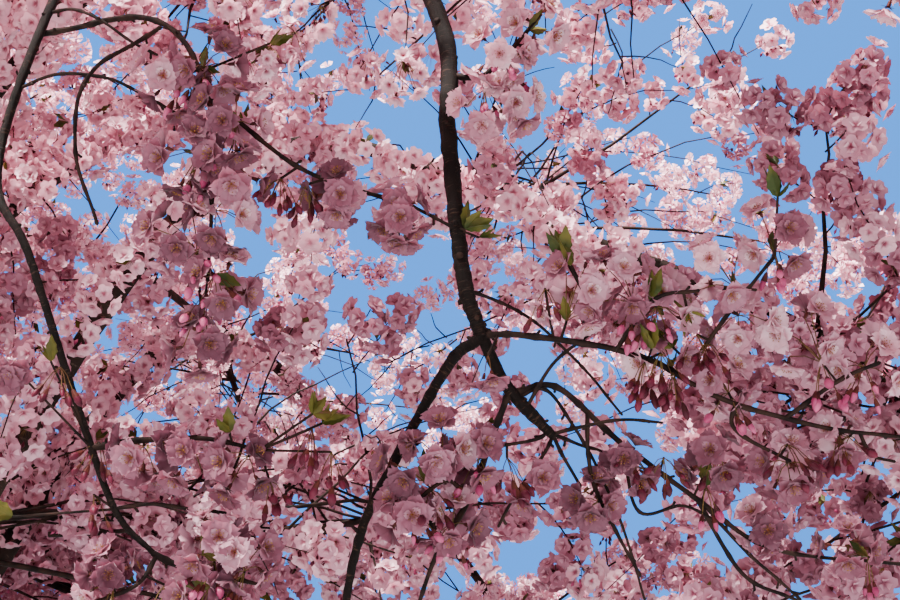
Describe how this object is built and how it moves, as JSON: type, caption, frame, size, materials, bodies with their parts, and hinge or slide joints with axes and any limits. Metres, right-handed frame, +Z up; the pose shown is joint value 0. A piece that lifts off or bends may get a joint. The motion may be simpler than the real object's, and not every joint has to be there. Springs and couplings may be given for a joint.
{
  "type": "flowering cherry tree",
  "caption": "Spreading ornamental cherry in full double pink blossom, with arching boughs, hanging limbs and masses of blossom, cut flat at ground level.",
  "frame": {"origin": "middle of the flat cut under the trunk, at ground level", "axes": "+Z straight up, square to the level ground; the picture looks along +Y and upwards"},
  "size_m": [5.7116, 5.8621, 5.0984],
  "materials": {
    "bark": "rough banded bark",
    "young_bark": "smooth dark bark",
    "blossom": "soft matt petals"
  },
  "bodies": {
    "root": {"cap_blossom_1": "blossom", "cap_blossom_2": "blossom", "cap_blossom_3": "blossom", "cap_blossom_4": "blossom", "hanging_limb": "young_bark", "hanging_limb_left_branch": "young_bark", "hanging_limb_right_branch": "young_bark", "high_bough_1": "bark", "high_bough_2": "bark", "high_bough_3": "bark", "high_bough_4": "bark", "inner_blossom_1": "blossom", "inner_blossom_2": "blossom", "inner_blossom_3": "blossom", "inner_blossom_4": "blossom", "inner_blossom_5": "blossom", "leader": "bark", "lower_bough_1": "bark", "lower_bough_2": "bark", "lower_bough_3": "bark", "lower_bough_4": "bark", "lower_bough_5": "bark", "lower_bough_6": "bark", "lower_bough_7": "bark", "lower_bough_8": "bark", "near_blossom_centre": "blossom", "near_blossom_left": "blossom", "near_blossom_left_side": "blossom", "near_blossom_low_left": "blossom", "near_blossom_low_right": "blossom", "near_blossom_right": "blossom", "near_blossom_top": "blossom", "shoulder_blossom_1": "blossom", "shoulder_blossom_2": "blossom", "shoulder_blossom_3": "blossom", "shoulder_blossom_4": "blossom", "shoulder_blossom_5": "blossom", "shoulder_blossom_6": "blossom", "shoulder_blossom_7": "blossom", "shoulder_blossom_8": "blossom", "skirt_blossom_1": "blossom", "skirt_blossom_2": "blossom", "skirt_blossom_3": "blossom", "skirt_blossom_4": "blossom", "skirt_blossom_5": "blossom", "skirt_blossom_6": "blossom", "skirt_blossom_7": "blossom", "skirt_blossom_8": "blossom", "top_blossom": "blossom", "trailing_limb": "young_bark", "trunk": "bark", "upper_bough_1": "bark", "upper_bough_2": "bark", "upper_bough_3": "bark", "upper_bough_4": "bark", "upper_bough_5": "bark", "upper_bough_6": "bark", "upper_bough_7": "bark", "upper_bough_8": "bark"}
  },
  "joints": []
}
